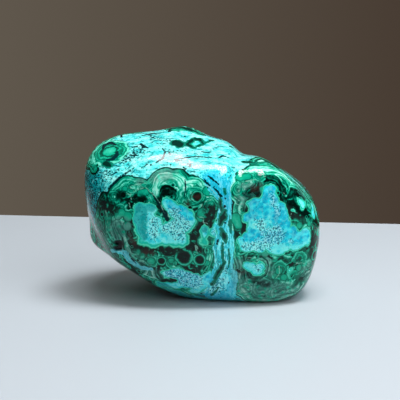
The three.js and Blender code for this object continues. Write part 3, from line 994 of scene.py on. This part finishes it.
POLISH_ROUGHNESS = 0.09
POLISH_IOR = 1.5
POLISH_SPECULAR = 0.2


def new_material(name, roughness):
    """A material, and its shader's inputs."""
    material = bpy.data.materials.new(name)
    material.use_nodes = True
    inputs = material.node_tree.nodes["Principled BSDF"].inputs
    inputs["Roughness"].default_value = roughness
    return material, inputs


def make_stone_material():
    material, inputs = new_material("polished_stone", POLISH_ROUGHNESS)
    made = Recipe(material.node_tree, "Object", 1 / MM)
    made.plug(inputs["Base Color"], stone_colour(made))
    inputs["IOR"].default_value = POLISH_IOR
    inputs["Specular IOR Level"].default_value = POLISH_SPECULAR
    return material


# ---- The table, the lights and the camera ----

# The table, in metres: how far it reaches, where its far edge is, and how much that edge slants.
TABLE_REACH = 1.5
TABLE_BACK = 0.118
TABLE_SLANT = -0.0975
TABLE_COLOUR = paint(178, 187, 195)
TABLE_ROUGHNESS = 0.5

# The room's colours, and where the left turns into the right and the back into the front.
ROOM_LEFT = paint(98, 90, 79)
ROOM_RIGHT = paint(68, 56, 47)
ROOM_FRONT = paint(48, 42, 36)
ROOM_MIDDLE = (-0.25, 0.25)
ROOM_DEPTH = (0.5, -0.2)

# Each light: azimuth, elevation and distance from the stone's middle, size in metres, watts, whether it
# lights things, and whether the stone mirrors it.
LIGHTS = {
    "overhead": (-26, 72, 0.6, (0.26, 0.18), 2.9, True, True),
    "key": (-78, 81, 0.6, (0.28, 0.12), 1.6, True, False),
    "left_fill": (-150, 30, 0.8, (0.3, 0.4), 0.2, True, False),
    "right_fill": (-42, 38, 0.9, (1.0, 0.8), 5.4, True, False),
    "back_fill": (100, 42, 0.9, (1.0, 0.8), 1.1, True, False),
    "glint": (26, 77, 0.61, (0.22, 0.24), 3.9, False, True),
    "veil": (97, 79, 0.6, (0.15, 0.14), 1.1, False, True),
}

# The camera: its lens and its sensor, and where it aims, from the stone's middle, all in millimetres.
LENS = 90
SENSOR = 36
AIM_RIGHT = -0.6
AIM_UP = 5.5


def make_table():
    """A pale table top. Its far edge is straight and runs a little nearer on the right."""
    corners = (
        (-TABLE_REACH, -TABLE_REACH, 0),
        (TABLE_REACH, -TABLE_REACH, 0),
        (TABLE_REACH, TABLE_BACK + TABLE_SLANT * TABLE_REACH, 0),
        (-TABLE_REACH, TABLE_BACK - TABLE_SLANT * TABLE_REACH, 0),
    )
    mesh = bpy.data.meshes.new("table")
    mesh.from_pydata(corners, [], [(0, 1, 2, 3)])
    table = bpy.data.objects.new("table", mesh)
    bpy.context.scene.collection.objects.link(table)
    material, inputs = new_material("table", TABLE_ROUGHNESS)
    inputs["Base Color"].default_value = TABLE_COLOUR
    mesh.materials.append(material)


def make_light(name, middle):
    """A soft light that faces the stone."""
    azimuth, elevation, distance, size, watts, lights, mirrored = LIGHTS[name]
    light = bpy.data.lights.new(name, "AREA")
    light.shape = "ELLIPSE"
    light.size, light.size_y = size
    light.energy = watts
    lamp = bpy.data.objects.new(name, light)
    lamp.visible_diffuse = lights
    lamp.visible_glossy = mirrored
    lamp.location = middle + Vector(facing(azimuth, elevation)) * distance
    lamp.rotation_euler = (middle - lamp.location).to_track_quat("-Z", "Y").to_euler()
    bpy.context.scene.collection.objects.link(lamp)


def make_room():
    """The dim room: lighter on the left behind the stone, and darker in front."""
    world = bpy.data.worlds.new("room")
    world.use_nodes = True
    made = Recipe(world.node_tree, "Generated", 1)
    right, back = made.node("SeparateXYZ", {0: made.place}, ("X", "Y"))
    colour = made.mix(right.share(*ROOM_MIDDLE), ROOM_LEFT, ROOM_RIGHT)
    colour = made.mix(back.share(*ROOM_DEPTH), colour, ROOM_FRONT)
    made.plug(world.node_tree.nodes["Background"].inputs["Color"], colour)
    bpy.context.scene.world = world


def make_camera(middle):
    """The camera stands where the front's markings are given from, and aims above the stone's middle."""
    toward = Vector(facing(*FRONT_VIEW))
    right = Vector((1, 0, 0))
    up = toward.cross(right)
    camera = bpy.data.objects.new("camera", bpy.data.cameras.new("camera"))
    camera.data.lens = LENS
    camera.data.sensor_width = SENSOR
    camera.location = middle + toward * VIEWING_DISTANCE * MM
    aim = middle + (right * AIM_RIGHT + up * AIM_UP) * MM
    camera.rotation_euler = (aim - camera.location).to_track_quat("-Z", "Y").to_euler()
    bpy.context.scene.collection.objects.link(camera)
    bpy.context.scene.camera = camera


stone, middle_mm = make_stone()
stone.data.materials.append(make_stone_material())
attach(stone, "root")
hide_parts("stone")

middle = Vector(middle_mm) * MM
make_table()
make_room()
for name in LIGHTS:
    make_light(name, middle)
make_camera(middle)
bpy.context.scene.view_settings.view_transform = "Standard"
